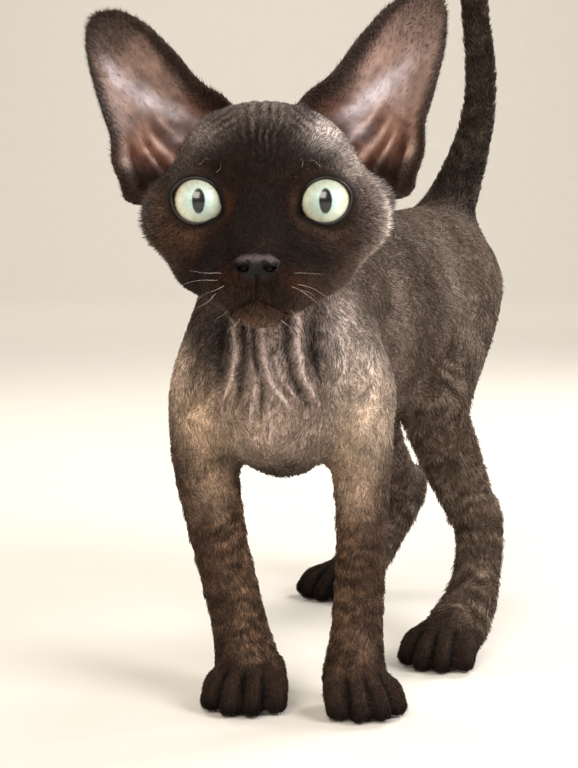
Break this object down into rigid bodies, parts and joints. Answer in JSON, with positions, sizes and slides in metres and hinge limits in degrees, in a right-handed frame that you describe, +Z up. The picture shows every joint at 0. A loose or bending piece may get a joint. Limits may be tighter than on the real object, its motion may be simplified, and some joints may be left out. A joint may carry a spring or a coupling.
{
  "type": "devon rex cat",
  "caption": "Young large-eared short-coated cat, a still life-size model standing in mid step with its tail raised.",
  "frame": {"origin": "middle of the model's box, at the level of the floor under the paws", "axes": "+Z up along the raised tail; -Y is ahead, the way the face looks; +X is the cat's left"},
  "size_m": [0.1693, 0.3088, 0.3611],
  "materials": {
    "coat": "short dark sable-brown fur",
    "ear_skin": "thin bare skin, satin",
    "eye": "wet and glossy, pale green iris"
  },
  "bodies": {
    "root": {"head": "coat", "neck": "coat", "torso": "coat", "hindquarters": "coat", "foreleg_right": "coat", "forepaw_right": "coat", "foreleg_left": "coat", "forepaw_left": "coat", "hindleg_left": "coat", "hindfoot_left": "coat", "hindpaw_left": "coat", "hindleg_right": "coat", "hindfoot_right": "coat", "hindpaw_right": "coat", "tail_root": "coat", "tail_middle": "coat", "tail_tip": "coat", "ear_right": "ear_skin", "ear_left": "ear_skin", "eye_right": "eye", "eye_left": "eye"}
  },
  "joints": []
}
